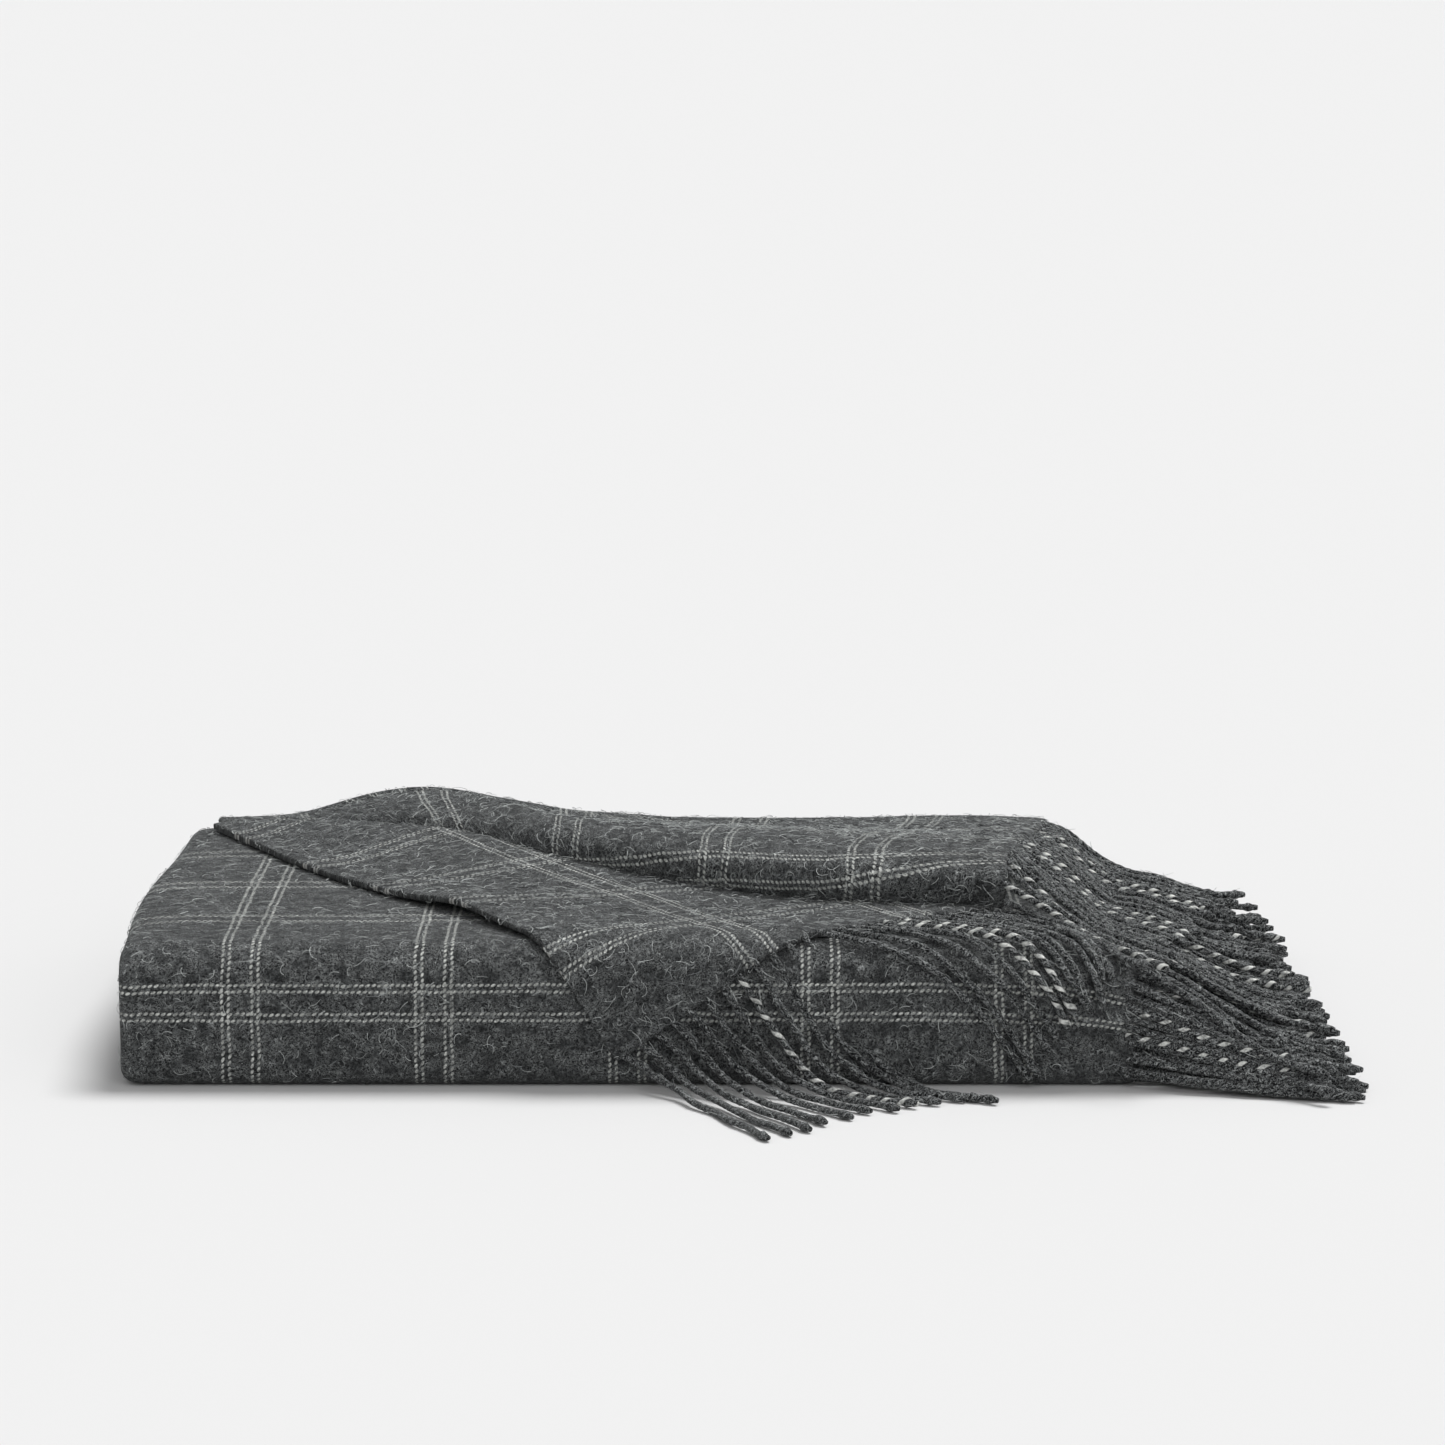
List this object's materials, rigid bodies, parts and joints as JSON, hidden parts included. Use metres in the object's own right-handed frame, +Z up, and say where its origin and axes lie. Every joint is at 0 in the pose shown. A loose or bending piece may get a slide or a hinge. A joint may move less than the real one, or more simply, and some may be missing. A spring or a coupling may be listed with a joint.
{
  "type": "folded throw blanket",
  "caption": "Fringed woven throw folded into a neat rectangular stack, its loose top layer laid diagonally with strands hanging over the front crease.",
  "frame": {"origin": "centre of the stack's flat underside", "axes": "+Z up, +X along the stack towards the fringed end, -Y out of the front crease"},
  "size_m": [0.5476, 0.4231, 0.0886],
  "materials": {
    "cloth": "brushed wool, matte",
    "fringe": "twisted wool yarn, matte"
  },
  "bodies": {
    "folded_stack": {"ply_1": "cloth", "ply_2": "cloth", "ply_3": "cloth", "ply_4": "cloth", "ply_5": "cloth", "ply_6": "cloth", "ply_7": "cloth", "ply_8": "cloth", "end_fringe_1": "fringe", "end_fringe_2": "fringe", "end_fringe_3": "fringe", "end_fringe_4": "fringe", "end_fringe_5": "fringe", "end_fringe_6": "fringe", "end_fringe_7": "fringe", "end_fringe_8": "fringe"},
    "top_layer": {"top_sheet": "cloth", "front_fringe": "fringe", "roll_fringe": "fringe"}
  },
  "joints": [
    {"name": "top_layer_lift", "type": "hinge", "parent": "folded_stack", "child": "top_layer", "pos_m": [0, 0.1585, 0.066], "axis": [-1, 0, 0], "range_deg": [0, 75]}
  ]
}
